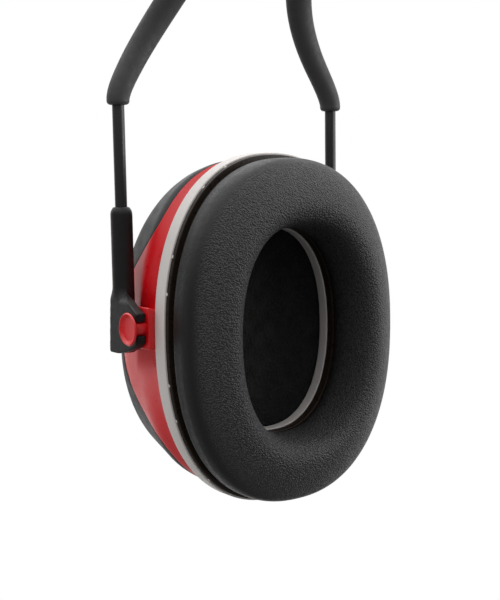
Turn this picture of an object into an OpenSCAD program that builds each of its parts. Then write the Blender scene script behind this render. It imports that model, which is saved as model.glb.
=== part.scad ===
// Over-the-head earmuff hearing protector on twin wire bands.
//
// Frame: millimetres, origin between the two ear openings at their height, +Z up. The wearer looks
// along -Y, so the cup at -X covers the right ear. Each cup is drawn once, in a cup frame whose x = 0
// is the front face of its carrier ring and whose +x points at the head, and is placed by on_side().

/* [Fit] */
// Distance between the two cushion faces when worn
head_gap = 140; // [130:1:160]
// Height of the band wires' top above the ear openings
band_top = 146; // [140:1:156]
// How far the cups can slide up from the worn setting
slide_up = 28; // [20:1:28]
// How far the cups can slide down from the worn setting
slide_down = 5; // [2:1:6]

/* [Cup] */
// Half width of the carrier ring, front to back
ring_a = 39; // [38.5:0.1:39.5]
// Half height of the carrier ring
ring_b = 53.4; // [52:0.1:54]
// Depth of the carrier ring's outer rim
ring_depth = 5.2; // [4:0.2:6]
// Depth of the hard cup behind the ring's front face
cup_depth = 39; // [37:0.5:41]
// Thickness of the outer cover
cover_wall = 1.6; // [1.4:0.1:1.8]
// Thickness of the cup shell under the cover
shell_wall = 2; // [1.8:0.1:2.4]

/* [Cushion] */
// Height of the cushion's face above the ring's front face
cushion_face = 19; // [17:0.5:21]
// Half width of the cushion at its fullest
cushion_a = 38.4; // [37.8:0.1:38.8]
// Half height of the cushion at its fullest
cushion_b = 51.7; // [50.4:0.1:52]
// Half width of the ear opening
ear_a = 21.2; // [20.8:0.1:21.6]
// Half height of the ear opening
ear_b = 31; // [30.5:0.1:31.5]

/* [Pivot] */
// Place of the pivot pins behind the ring's front face
pivot_x = -9; // [-9.5:0.1:-8.5]
// Height of the pivot pins above the middle of the cup
pivot_z = 3; // [2:0.5:4]
// Diameter of the pin's neck
pin_d = 4.9; // [4.7:0.1:5]
// Diameter of the pin's head
pin_head_d = 9.8; // [9:0.1:10]
// Distance from the middle of the cup to the outside of the pin's head
pin_reach = 46; // [46:0.1:46.4]

/* [Band] */
// Diameter of the steel wire
wire_d = 2.4; // [2:0.1:2.5]
// Diameter over the wire's insulation
insulation_d = 3.6; // [3.4:0.1:3.6]
// Diameter of the yoke's tube
tube_d = 6.55; // [6.4:0.05:6.7]
// Height of the top of the yoke's tube above the ear opening
tube_top = 38; // [37.5:0.5:38.5]
// Place of the band wires behind the ring's front face
wire_x = -20.4; // [-20.8:0.1:-20]
// Distance of the band wires from the middle of the cup, front and back
wire_y = 40.2; // [40:0.1:40.4]
// Distance of the band wires from the middle over the head
top_y = 15.5; // [12:0.5:20]

/* [Hidden] */

BLACK = "#1c1c1e";
COVER_BLACK = "#3a3a3c";
RED = "#c4121a";
CREAM = "#c3beb9";
PLATE_BROWN = "#1d1714";
FOAM = "#26262a";
STEEL = "#a9acb0";

$fn = 64;
EPS = 0.01;            // overlap that joins two shapes
SEGMENTS = 44;         // points round a cup oval
OVAL_POWER = 2.27;     // 2 is an ellipse, more is squarer
cup_plane = head_gap / 2 + cushion_face;   // distance of the cup frame's x = 0 from the middle

// Dome of the hard cup: straight sides that taper a little, then a rounded outer end. It is shaped as
// if the cup were equally deep all over, then the depth is eased off towards the top and the bottom.
dome_a = ring_a - 1.2;
dome_b = ring_b - 1.2;
dome_straight = -28.4; // x where the straight side ends
dome_taper = 0.0031;   // loss of width for each mm of depth
dome_power = 4.2;      // squareness of the outer end
dome_lift = 0.124;     // upward drift of the sections for each mm of depth
dome_oval = 3;         // the ring's oval grows squarer, up to this power
dome_oval_at = 14;     // over this much depth
lean_z = 50;           // height at which the two easings below are given
lean = 0.194;          // share of the depth lost at the top and gained at the bottom
barrel = 0.613;        // share of the depth lost at the top and at the bottom
seam_tip = 17.5;       // reach of the red shell level with the pivots, past seam_base
seam_base = -13.5;     // x of the seam at the top and the bottom of the cup, before the easing
seam_spread = 0.452;   // share of the half height over which the seam falls away from its tip
seam_power = 3;
seam_z = -0.055;       // height of the tip, as a share of the half height
cover_gap = 0.1;       // room between the cover and the shell under it
shell_inset = cover_wall + cover_gap + shell_wall;
flat_y = 36.3;         // the cup is flattened here so that the yoke's tube can pass

// Pedestal that carries the pin.
pedestal_y = 40.8;
pedestal_x = 4;        // its reach outward from the pin
pedestal_h = 12.8;
pin_seat_y = 36.2;
pin_play = 0.05;

// Yoke.
clip_y = 41;           // inner face of the clip
clip_t = 2.9;
clip_play = 0.08;      // running clearance on the pin
mouth_w = 4;
clip_tip_x = 2.4;      // reach of the prongs past the pin
foot_low = -8.4;       // lowest point below the pin
// Outline of the foot about the pin's axis, from the tube down past the clip and back up.
FOOT_EDGE = [
    [-8.3, 14], [-7.6, 11], [-6.3, 9.4], [-4.1, 8], [1.4, 4.8], [clip_tip_x, 4.7],
    [clip_tip_x, -4.4], [0.1, -5.8], [-3.4, -7.1], [-9, foot_low],
    [-14, foot_low], [-14.5, -6], [-14.3, 0], [-13.2, 7.4], [-12, 14]
];
tube_bottom = pivot_z + foot_low;
neck_h = 5;            // the narrow mouth that guides the wire
neck_play = 0.05;
chamber_r = 2.3;
chamber_floor = 1.5;
tube_chamfer = 0.8;

// Band wires: straight up from the yokes, then inward and over the head.
stop_r = 2.2;
stop_h = 3;
stop_play = 0.3;       // left between the stop and the neck when the cup is fully down
wire_end = tube_top - neck_h - slide_down - stop_play;
sleeve_gap = 1.6;      // left between the tube and the sleeve when the cup is fully up
sleeve_end = tube_top + slide_up + sleeve_gap;
bend_low = 69;         // where the wires start to lean in
bend_high = 128;       // where they run parallel again
arch_low = 80;         // where the arch over the head starts
lead_in = 8;           // stiffness of the lower bend
lead_out = 26;         // stiffness of the upper bend
insulation_top = 68.6; // just inside the sleeve, below the bend
band_x = cup_plane - wire_x;

function oval(a, b) = [for (i = [0 : SEGMENTS - 1])
    let (c = cos(360 * i / SEGMENTS), s = sin(360 * i / SEGMENTS))
    [a * sign(c) * pow(abs(c), 2 / OVAL_POWER), b * sign(s) * pow(abs(s), 2 / OVAL_POWER)]];
function ring_at(x, a, b) = [for (p = oval(a, b)) [x, p[0], p[1]]];

// Quads between ring i and ring j of n points each, as triangles; flip cuts them the other way.
function band_faces(i, j, n, flip = false) = [for (k = [0 : n - 1]) let (m = (k + 1) % n)
    each flip
        ? [[i * n + k, j * n + k, i * n + m], [i * n + m, j * n + k, j * n + m]]
        : [[i * n + k, j * n + k, j * n + m], [i * n + k, j * n + m, i * n + m]]];

function middle(ring) = [for (i = [0 : 2]) let (v = [for (p = ring) p[i]]) (min(v) + max(v)) / 2];

// A surface through rings of points, closed to the middle of the first and the last one.
module loft(rings, flip = false) {
    n = len(rings[0]);
    last = len(rings) - 1;
    near = n * len(rings);
    polyhedron(
        points = concat([for (r = rings) each r], [middle(rings[0]), middle(rings[last])]),
        faces = concat(
            [for (k = [0 : n - 1]) [k, (k + 1) % n, near]],
            [for (i = [0 : last - 1]) each band_faces(i, i + 1, n, flip)],
            [for (k = [0 : n - 1]) [last * n + (k + 1) % n, last * n + k, near + 1]]));
}

// A surface through rings of points whose last ring joins the first.
module loop_loft(rings) {
    n = len(rings[0]);
    count = len(rings);
    polyhedron(
        points = [for (r = rings) each r],
        faces = [for (i = [0 : count - 1]) each band_faces(i, (i + 1) % count, n)]);
}

module along_x(x0, x1) {
    translate([x0, 0, 0]) rotate([90, 0, 90]) linear_extrude(x1 - x0) children();
}

module along_y(y0, y1) {
    translate([0, y0, 0]) rotate([-90, 0, 0]) linear_extrude(y1 - y0) mirror([0, 1]) children();
}

module oval_tube(x0, x1, outer, inner) {
    along_x(x0, x1) difference() {
        polygon(oval(outer[0], outer[1]));
        polygon(oval(inner[0], inner[1]));
    }
}

// side is -1 for the right cup and 1 for the left one.
module on_side(side) {
    if (side < 0) translate([-cup_plane, 0, 0]) children();
    else mirror([1, 0, 0]) translate([-cup_plane, 0, 0]) children();
}

// front is -1 for the wearer's front and 1 for the back; children are drawn for the front.
module on_end(front) {
    if (front < 0) children();
    else mirror([0, 1, 0]) children();
}

// Dome surface. Depth runs from 0 at the ring to 1 where the sides end, and 2 at the outer end.
function dome_x(depth, inset) = depth < 1
    ? -ring_depth + depth * (dome_straight + ring_depth)
    : dome_straight - (cup_depth - inset + dome_straight) * pow(sin(90 * (depth - 1)), 2 / dome_power);
function dome_scale(depth, inset) =
    (1 + dome_taper * (dome_x(depth, inset) + ring_depth))
    * (depth < 1 ? 1 : pow(cos(90 * (depth - 1)), 2 / dome_power));
function dome_depth(x) = x > dome_straight
    ? (x + ring_depth) / (dome_straight + ring_depth)
    : 1 + asin(pow(min(1, (dome_straight - x) / (cup_depth + dome_straight)), dome_power / 2)) / 90;
function seam_depth(u) =
    dome_depth(seam_base - seam_tip * exp(-pow(abs(u - seam_z) / seam_spread, seam_power)));
function signed_pow(v, power) = sign(v) * pow(abs(v), 2 / power);
function ease(t) = let (q = min(1, max(0, t))) q * q * (3 - 2 * q);

DOME_END = 1.995;      // the outer end is closed from here to a point
// Ring on the dome. Share 0 is the ring side, 1 the seam and 2 the outer end.
function dome_ring(share, inset) = [for (i = [0 : SEGMENTS - 1])
    let (c = cos(360 * i / SEGMENTS),
         s = sin(360 * i / SEGMENTS),
         seam = seam_depth(signed_pow(s, OVAL_POWER)),
         depth = share < 1 ? share * seam : seam + (share - 1) * (DOME_END - seam),
         x = dome_x(depth, inset),
         reach = -ring_depth - x,
         power = OVAL_POWER + (dome_oval - OVAL_POWER) * ease(reach / dome_oval_at),
         k = dome_scale(depth, inset),
         z = signed_pow(s, power) * (dome_b - inset) * k + dome_lift * reach,
         h = z / lean_z)
    [-ring_depth - reach * (1 - lean * h - barrel * h * h), signed_pow(c, power) * (dome_a - inset) * k, z]];

SHARES_UNDER = [0, 0.34, 0.67, 1];
SHARES_PAST = [1.25, 1.5, 1.7, 1.85, 1.94, 1.98, 2];
SHARES_OVER = concat([1], SHARES_PAST);
SHARES_COVER = concat([1.005], SHARES_PAST);     // starts a hair past the shell's step
SHARES_INNER = concat([0, 0.5, 1], SHARES_PAST);
function reversed(v) = [for (i = [len(v) - 1 : -1 : 0]) v[i]];

// Room for the yoke's tube at the front and the back of the cup.
module tube_room() {
    for (s = [-1, 1])
        translate([-cup_depth - 2, s > 0 ? flat_y : -flat_y - 10, -24])
            cube([cup_depth + 2 - ring_depth - 1.3, 10, 88]);
}

module outer_cover() {
    color(COVER_BLACK) difference() {
        loft(concat(
            [for (s = reversed(SHARES_COVER)) dome_ring(s, 0)],
            [for (s = SHARES_COVER) dome_ring(s, cover_wall)]));
        tube_room();
    }
}

module pedestal() {
    for (s = [-1, 1])
        translate([pivot_x - pedestal_x, s > 0 ? flat_y - 2 : -pedestal_y, pivot_z - pedestal_h / 2])
            cube([-ring_depth - pivot_x + pedestal_x, pedestal_y - flat_y + 2, pedestal_h]);
}

module cup_shell() {
    color(RED) difference() {
        union() {
            difference() {
                loft(concat(
                    [for (s = reversed(SHARES_OVER)) dome_ring(s, cover_wall + cover_gap)],
                    [for (s = reversed(SHARES_UNDER)) dome_ring(s, 0)],
                    [for (s = SHARES_INNER) dome_ring(s, shell_inset)]), true);
                tube_room();
            }
            pedestal();
        }
        for (s = [-1, 1])
            translate([pivot_x, s * pedestal_y, pivot_z]) rotate([90, 0, 0])
                cylinder(d = pin_d + 2 * pin_play, h = 2 * (pedestal_y - pin_seat_y), center = true);
    }
}

// Light ring between the shell and the cushion: rim, web and the collar round the ear opening.
rim_t = 4.6;
web_t = 2;
collar_t = 1.2;
collar_depth = 3.6;
lug_w = 1.4;
lug_t = 0.8;
lug_h = 1.2;
LUG_ANGLES = [for (half = [0, 180]) for (a = [12, 24, 53, 67]) each [half - a, half + a]];
plate_a = 38.5;
plate_b = 52.9;

// Small catch at the plate's edge. play makes it larger all round, to cut the room for it.
module lug(angle, play = 0) {
    p = [plate_a * signed_pow(cos(angle), OVAL_POWER), plate_b * signed_pow(sin(angle), OVAL_POWER)];
    translate([-EPS, p[0], p[1]]) rotate([atan2(p[1] * pow(plate_a / plate_b, 2), p[0]), 0, 0])
        translate([0, -lug_t - play, -lug_w / 2 - play])
            cube([lug_h + play, lug_t + play, lug_w + 2 * play]);
}

module carrier_ring() {
    color(CREAM) union() {
        oval_tube(-ring_depth, 0, [ring_a, ring_b], [ring_a - rim_t, ring_b - rim_t]);
        oval_tube(-web_t, 0, [ring_a - 1, ring_b - 1], [ear_a + EPS, ear_b + EPS]);
        oval_tube(-collar_depth, 0, [ear_a + collar_t, ear_b + collar_t], [ear_a, ear_b]);
        for (a = LUG_ANGLES) lug(a);
    }
}

// Stiff backing that snaps onto the ring and carries the cushion: flange, then a narrower seat.
plate_h = 3;
flange_t = 1.2;
seat_in = 2.2;
hole_out = 0.3;        // the plate's hole is this much wider than the ear opening, all round
module cushion_plate() {
    hole = [ear_a + hole_out, ear_b + hole_out];
    color(PLATE_BROWN) union() {
        difference() {
            oval_tube(0, flange_t, [plate_a, plate_b], hole);
            for (a = LUG_ANGLES) lug(a, 0.15);
        }
        oval_tube(flange_t - EPS, plate_h, [plate_a - seat_in, plate_b - seat_in], hole);
    }
}

// Cushion section as [x, share across the ring]; share 0 is the ear opening, 1 the fullest edge.
cushion_back = plate_h + 0.02;
cushion_rise = cushion_face - cushion_back;
SECTION = [
    [0, 0.9], [0.12, 0.98], [0.37, 1], [0.54, 0.96], [0.68, 0.85], [0.81, 0.7], [0.92, 0.53],
    [1, 0.36], [1, 0.22], [0.94, 0.16], [0.8, 0.09], [0.5, 0.02], [0.2, 0], [0, 0.06]
];
SECTION_MIDDLE = [0.45, 0.48];
function section_ring(p) = ring_at(cushion_back + p[0] * cushion_rise,
    ear_a + p[1] * (cushion_a - ear_a), ear_b + p[1] * (cushion_b - ear_b));
function shrunk(share) = [for (p = SECTION) SECTION_MIDDLE + (p - SECTION_MIDDLE) * share];
skin_share = 0.86;
foam_share = 0.84;

module cushion() {
    color(BLACK) difference() {
        loop_loft([for (p = SECTION) section_ring(p)]);
        loop_loft([for (p = shrunk(skin_share)) section_ring(p)]);
    }
}

module cushion_foam() {
    color(FOAM) loop_loft([for (p = shrunk(foam_share)) section_ring(p)]);
}

foam_room = 0.6;       // clearance between the foam blocks and the hard walls
liner_back = -11.5;
module liner_foam() {
    color(FOAM) along_x(liner_back, -collar_depth - foam_room) polygon(oval(32, 44));
}

module damping_foam() {
    color(FOAM) along_x(-25, liner_back - foam_room) polygon(oval(22, 25));
}

// Pin: shaft in the pedestal, neck for the clip, and a dished head whose underside is a cone.
dish_d = 7.2;
dish_t = 0.5;
head_bevel = 0.5;
under_d = 5.6;         // diameter of the head where it faces the clip
pin_head_y = clip_y + clip_t + 0.2;
module pin() {
    color(RED) translate([pivot_x, 0, pivot_z]) rotate([90, 0, 0]) rotate_extrude() polygon([
        [0, pin_seat_y + 0.1], [pin_d / 2, pin_seat_y + 0.1], [pin_d / 2, pin_head_y],
        [under_d / 2, pin_head_y], [pin_head_d / 2, pin_reach - head_bevel],
        [pin_head_d / 2 - head_bevel, pin_reach], [dish_d / 2, pin_reach],
        [dish_d / 2 - dish_t, pin_reach - dish_t], [0, pin_reach - dish_t]
    ]);
}

// Outline of the yoke's foot in the x-z plane, about the pin's axis.
module foot_outline() {
    difference() {
        polygon(FOOT_EDGE);
        circle(d = pin_d + 2 * clip_play);
        translate([0, -mouth_w / 2]) square([clip_tip_x + 1, mouth_w]);
    }
}

module yoke() {
    color(BLACK) difference() {
        union() {
            translate([wire_x, -wire_y, tube_bottom]) rotate_extrude() polygon([
                [0, 0], [tube_d / 2, 0], [tube_d / 2, tube_top - tube_bottom - tube_chamfer],
                [tube_d / 2 - tube_chamfer, tube_top - tube_bottom], [0, tube_top - tube_bottom]
            ]);
            translate([pivot_x, 0, pivot_z]) along_y(-clip_y - clip_t, -clip_y) foot_outline();
        }
        translate([wire_x, -wire_y, tube_bottom + chamber_floor])
            cylinder(r = chamber_r, h = tube_top - tube_bottom - chamber_floor - neck_h);
        translate([wire_x, -wire_y, tube_top - neck_h - EPS])
            cylinder(d = insulation_d + 2 * neck_play, h = neck_h + 1);
    }
}

// Centre line of the front band, from the right ear over the head to the left ear.
arch_rise = band_top - arch_low;
function arch_x(z) = -band_x * sqrt(1 - pow(max(0, z - arch_low) / arch_rise, 2));
function bend(t) =
    let (u = 1 - t,
         y = -wire_y + (wire_y - top_y) * (3 * u * t * t + t * t * t),
         z = bend_low * u * u * u + 3 * (bend_low + lead_in) * u * u * t
           + 3 * (bend_high - lead_out) * u * t * t + bend_high * t * t * t)
    [arch_x(z), y, z];
arch_start = asin((bend_high - arch_low) / arch_rise);
BEND_STEPS = 9;
ARCH_STEPS = 5;
HALF_CURVE = concat(
    [for (i = [0 : BEND_STEPS - 1]) bend(i / BEND_STEPS)],
    [for (i = [0 : ARCH_STEPS]) let (q = arch_start + (90 - arch_start) * i / ARCH_STEPS)
        [-band_x * cos(q), -top_y, arch_low + arch_rise * sin(q)]]);
function mirrored_back(half) = concat(half,
    [for (i = [len(half) - 2 : -1 : 0]) [-half[i][0], half[i][1], half[i][2]]]);
function unit(v) = v / norm(v);
function tangent(path, i) = unit(path[min(i + 1, len(path) - 1)] - path[max(i - 1, 0)]);

// Ring of points round the path: half width w across the head's front-to-back line, half thickness t.
function band_ring(path, i, w, t, sides) =
    let (along = tangent(path, i),
         across = unit([0, 1, 0] - along[1] * along),
         up = cross(along, across))
    [for (k = [0 : sides - 1])
        path[i] + across * w * cos(360 * k / sides) + up * t * sin(360 * k / sides)];

WIRE_SIDES = 8;
WIRE_PATH = mirrored_back(concat([[-band_x, -wire_y, wire_end], [-band_x, -wire_y, 48]], HALF_CURVE));
module band_wire() {
    color(STEEL) loft([for (i = [0 : len(WIRE_PATH) - 1])
        band_ring(WIRE_PATH, i, wire_d / 2, wire_d / 2, WIRE_SIDES)]);
}

module insulation() {
    color(BLACK) for (s = [-1, 1])
        translate([s * band_x, -wire_y, wire_end]) difference() {
            cylinder(d = insulation_d, h = insulation_top - wire_end);
            translate([0, 0, -1]) cylinder(d = wire_d + 0.04, h = insulation_top - wire_end + 2);
        }
}

// Overmould. Its end is rounded, and it widens to a flat pad over the head.
SLEEVE_SIDES = 14;
SLEEVE_PATH = mirrored_back(concat(
    [for (z = [0, 0.5]) [-band_x, -wire_y, sleeve_end + z]],
    [for (z = [insulation_top + 0.15, insulation_top + 0.3]) [-band_x, -wire_y, z]],
    [for (p = HALF_CURVE) if (p[2] > bend_low + 1) p]));
sleeve_r = 3.35;
pad_w = 4.6;
pad_t = 3.2;
channel_play = 1.08;   // keeps the many-sided channel clear of the round wire
function sleeve_share(p) = min(1, max(0, (p[2] - insulation_top) / 40));
function end_round(p) = p[2] < sleeve_end + 0.2 ? 0.78 : p[2] < sleeve_end + 0.8 ? 0.93 : 1;
function sleeve_outer(i) =
    let (p = SLEEVE_PATH[i], k = sleeve_share(p), e = end_round(p))
    band_ring(SLEEVE_PATH, i, e * (sleeve_r + k * (pad_w - sleeve_r)),
        e * (sleeve_r + k * (pad_t - sleeve_r)), SLEEVE_SIDES);
function sleeve_inner(i) =
    let (r = (SLEEVE_PATH[i][2] < insulation_top + 0.2 ? insulation_d : wire_d) / 2 * channel_play)
    band_ring(SLEEVE_PATH, i, r, r, SLEEVE_SIDES);
module sleeve() {
    count = len(SLEEVE_PATH);
    color(BLACK) loop_loft(concat(
        [for (i = [0 : count - 1]) sleeve_outer(i)],
        [for (i = [count - 1 : -1 : 0]) sleeve_inner(i)]));
}

// Swaged stop on each wire end, which holds the yoke on the band.
module end_stops() {
    color(STEEL) for (sx = [-1, 1]) for (sy = [-1, 1])
        translate([sx * band_x, sy * wire_y, wire_end - stop_h]) cylinder(r = stop_r, h = stop_h);
}

on_end(-1) band_wire();  // front_wire
on_end(1) band_wire();  // rear_wire
on_end(-1) insulation();  // front_insulation
on_end(1) insulation();  // rear_insulation
on_end(-1) sleeve();  // front_sleeve
on_end(1) sleeve();  // rear_sleeve
end_stops();  // wire_end_stops

on_side(-1) on_end(-1) yoke();  // right_front_yoke
on_side(-1) on_end(1) yoke();  // right_rear_yoke
on_side(-1) outer_cover();  // right_outer_cover
on_side(-1) cup_shell();  // right_cup_shell
on_side(-1) carrier_ring();  // right_carrier_ring
on_side(-1) cushion_plate();  // right_cushion_plate
on_side(-1) cushion();  // right_cushion
on_side(-1) cushion_foam();  // right_cushion_foam
on_side(-1) liner_foam();  // right_liner_foam
on_side(-1) damping_foam();  // right_damping_foam
on_side(-1) on_end(-1) pin();  // right_front_pin
on_side(-1) on_end(1) pin();  // right_rear_pin

on_side(1) on_end(-1) yoke();  // left_front_yoke
on_side(1) on_end(1) yoke();  // left_rear_yoke
on_side(1) outer_cover();  // left_outer_cover
on_side(1) cup_shell();  // left_cup_shell
on_side(1) carrier_ring();  // left_carrier_ring
on_side(1) cushion_plate();  // left_cushion_plate
on_side(1) cushion();  // left_cushion
on_side(1) cushion_foam();  // left_cushion_foam
on_side(1) liner_foam();  // left_liner_foam
on_side(1) damping_foam();  // left_damping_foam
on_side(1) on_end(-1) pin();  // left_front_pin
on_side(1) on_end(1) pin();  // left_rear_pin
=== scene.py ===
"""Looks of the earmuff hearing protector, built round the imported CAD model.

Each cup is drawn in its own frame, in millimetres: x = 0 is the front face of the carrier ring,
+x points at the head, y is front (-) to back (+) and z is up. place() puts it on its side of the
head, in metres.
"""
import math

import bmesh
import bpy
import numpy as np
from mathutils import Matrix, Vector


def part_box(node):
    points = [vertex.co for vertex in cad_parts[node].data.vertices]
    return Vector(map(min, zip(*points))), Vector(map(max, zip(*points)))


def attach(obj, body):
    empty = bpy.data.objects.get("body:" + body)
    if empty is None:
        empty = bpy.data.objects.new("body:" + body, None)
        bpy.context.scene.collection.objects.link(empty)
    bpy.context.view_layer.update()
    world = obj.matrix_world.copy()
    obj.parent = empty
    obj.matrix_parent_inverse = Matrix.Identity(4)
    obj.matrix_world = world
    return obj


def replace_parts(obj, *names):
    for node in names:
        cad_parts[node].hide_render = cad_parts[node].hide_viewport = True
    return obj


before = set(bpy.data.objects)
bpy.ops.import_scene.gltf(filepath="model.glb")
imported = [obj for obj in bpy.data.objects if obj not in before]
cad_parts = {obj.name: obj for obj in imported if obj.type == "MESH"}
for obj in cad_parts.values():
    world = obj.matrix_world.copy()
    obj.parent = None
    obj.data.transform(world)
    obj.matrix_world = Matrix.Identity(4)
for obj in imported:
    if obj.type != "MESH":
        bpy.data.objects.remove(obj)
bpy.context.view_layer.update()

MM = 0.001
SIDES = {"right": -1, "left": 1}
ENDS = {"front": -1, "rear": 1}


# ---------------------------------------------------------------- dimensions from the frame

def node_box(node):
    """Lowest and highest corner of a CAD node, in millimetres."""
    low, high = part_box(node)
    return np.array(low) / MM, np.array(high) / MM


ring_low, ring_high = node_box("right_carrier_ring")
plate_low, plate_high = node_box("right_cushion_plate")
cushion_high = node_box("right_cushion")[1]
cover_low = node_box("right_outer_cover")[0]
shell_high = node_box("right_cup_shell")[1]
pin_low, pin_high = node_box("right_front_pin")
yoke_low, yoke_high = node_box("right_front_yoke")
wire_high = node_box("front_wire")[1]
sleeve_low, sleeve_high = node_box("front_sleeve")
tube_low, tube_high = node_box("front_insulation")
liner_low, liner_high = node_box("right_liner_foam")

PLANE = -plate_low[0]                       # distance of the cup frame from the middle of the head
RING_A = ring_high[1]
RING_B = ring_high[2]
RING_DEPTH = -(ring_low[0] + PLANE)
PLATE_A = plate_high[1]
PLATE_B = plate_high[2]
PLATE_H = plate_high[0] + PLANE
CUSHION_A = cushion_high[1]
CUSHION_B = cushion_high[2]
CUSHION_FACE = cushion_high[0] + PLANE
CUP_DEPTH = -(cover_low[0] + PLANE)
PEDESTAL_Y = shell_high[1]
PIN_X = (pin_low[0] + pin_high[0]) / 2 + PLANE
PIN_Z = (pin_low[2] + pin_high[2]) / 2
PIN_HEAD_R = (pin_high[2] - pin_low[2]) / 2
PIN_REACH = -pin_low[1]
CLIP_OUT = -yoke_low[1]
CLIP_T = 2.9
WIRE_R = (tube_high[1] - tube_low[1]) / 2
WIRE_Y = -(tube_low[1] + tube_high[1]) / 2
BAND_X = tube_high[0] - WIRE_R
WIRE_X = PLANE - BAND_X
TUBE_R = WIRE_X - (yoke_low[0] + PLANE)
TUBE_TOP = yoke_high[2]
TUBE_BOTTOM = yoke_low[2]
WIRE_END = tube_low[2]
WIRE_HIDDEN_END = tube_high[2]
SLEEVE_END = sleeve_low[2]
LINER_FRONT = liner_high[0] + PLANE
LINER_BACK = liner_low[0] + PLANE
LINER_A = liner_high[1]
LINER_B = liner_high[2]

EAR_A = 21.2                                # half width and half height of the ear opening
EAR_B = 31.0
OVAL_POWER = 2.27


# ---------------------------------------------------------------- mesh helpers

def place(points, side):
    """Cup-frame points in millimetres to row-frame points in metres."""
    p = np.array(points, float)
    x = (-PLANE + p[:, 0]) if side < 0 else (PLANE - p[:, 0])
    return np.stack([x, p[:, 1], p[:, 2]], 1) * MM


def new_object(name, points, faces, material, body, slot):
    """A mesh piece in the row frame, riding on a body."""
    mesh = bpy.data.meshes.new(name)
    mesh.from_pydata([tuple(p) for p in points], [], faces)
    mesh.validate()
    bm = bmesh.new()
    bm.from_mesh(mesh)
    bmesh.ops.remove_doubles(bm, verts=bm.verts, dist=1e-7)
    bmesh.ops.recalc_face_normals(bm, faces=bm.faces)
    bm.to_mesh(mesh)
    bm.free()
    for polygon in mesh.polygons:
        polygon.use_smooth = True
    piece = bpy.data.objects.new(name, mesh)
    bpy.context.scene.collection.objects.link(piece)
    mesh.materials.append(material)
    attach(piece, body)
    return piece


def joined(parts):
    """Several (points, faces) lists as one."""
    points, faces = [], []
    for p, f in parts:
        base = len(points)
        points.extend([tuple(q) for q in p])
        faces.extend([tuple(i + base for i in face) for face in f])
    return points, faces


def grid_faces(rows, columns, wrap_rows=False):
    """Quads over rows of points, each row a closed ring."""
    faces = []
    for i in range(rows if wrap_rows else rows - 1):
        j = (i + 1) % rows
        for k in range(columns):
            m = (k + 1) % columns
            faces.append((i * columns + k, i * columns + m, j * columns + m, j * columns + k))
    return faces


def capped(rows, columns):
    """Faces of a surface through rings, closed at both ends."""
    last = (rows - 1) * columns
    return grid_faces(rows, columns) + [tuple(range(columns)), tuple(range(last, last + columns))]


def signed_pow(v, power):
    """A cosine or sine as the coordinate of a superellipse of that power."""
    return np.sign(v) * np.abs(v) ** (2 / power)


def oval_unit(count):
    """Points round a superellipse of half width and half height 1."""
    t = np.arange(count) * 2 * math.pi / count
    return np.stack([signed_pow(np.cos(t), OVAL_POWER), signed_pow(np.sin(t), OVAL_POWER)], 1)


FILLET_ROOM = 0.45                          # share of the shorter side that a corner may use


def fillet(points, radius, steps=4, closed=True):
    """Rounds the corners of a polyline with short curves.

    radius is one value, or one for each point.
    """
    p = [np.array(q, float) for q in points]
    n = len(p)
    radii = radius if hasattr(radius, "__len__") else [radius] * n
    out = []
    for i in range(n):
        if not closed and i in (0, n - 1):
            out.append(p[i])
            continue
        before, after = p[i - 1] - p[i], p[(i + 1) % n] - p[i]
        room = FILLET_ROOM * min(np.linalg.norm(before), np.linalg.norm(after))
        r = min(radii[i], room)
        if r < 1e-3:
            out.append(p[i])
            continue
        a = p[i] + before / np.linalg.norm(before) * r
        b = p[i] + after / np.linalg.norm(after) * r
        for k in range(steps + 1):
            t = k / steps
            out.append(a * (1 - t) ** 2 + p[i] * 2 * t * (1 - t) + b * t * t)
    return out


def swept_oval(section, count=192):
    """A ring whose section is a closed list of (x, half width, half height)."""
    unit = oval_unit(count)
    points = [(x, a * u[0], b * u[1]) for x, a, b in section for u in unit]
    return points, grid_faces(len(section), count, wrap_rows=True)


def lathe(profile, centre, axis_y, count=64):
    """Surface of revolution about a line along y through centre (x, z). profile is (radius, y)."""
    points = []
    for r, y in profile:
        for k in range(count):
            t = 2 * math.pi * k / count
            points.append((centre[0] + r * math.cos(t), axis_y * y, centre[1] + r * math.sin(t)))
    return points, capped(len(profile), count)


def upright_lathe(profile, centre, count=48):
    """Surface of revolution about a vertical line through centre (x, y). profile is (radius, z)."""
    points = []
    for r, z in profile:
        for k in range(count):
            t = 2 * math.pi * k / count
            points.append((centre[0] + r * math.cos(t), centre[1] + r * math.sin(t), z))
    return points, capped(len(profile), count)


def smoothstep(low, high, value):
    t = np.clip((value - low) / (high - low), 0, 1)
    return t * t * (3 - 2 * t)


def soft_min(a, b, radius):
    """The smaller of two values, rounded where they meet."""
    h = np.clip(0.5 + 0.5 * (b - a) / radius, 0, 1)
    return b * (1 - h) + a * h - radius * h * (1 - h)


# ---------------------------------------------------------------- materials

def map_range(tree, value, low, high, to_low, to_high):
    """A smooth step of value, from to_low at low to to_high at high."""
    node = tree.nodes.new("ShaderNodeMapRange")
    node.interpolation_type = "SMOOTHSTEP"
    for socket, number in (("From Min", low), ("From Max", high),
                           ("To Min", to_low), ("To Max", to_high)):
        node.inputs[socket].default_value = number
    tree.links.new(value, node.inputs["Value"])
    return node.outputs["Result"]


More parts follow.
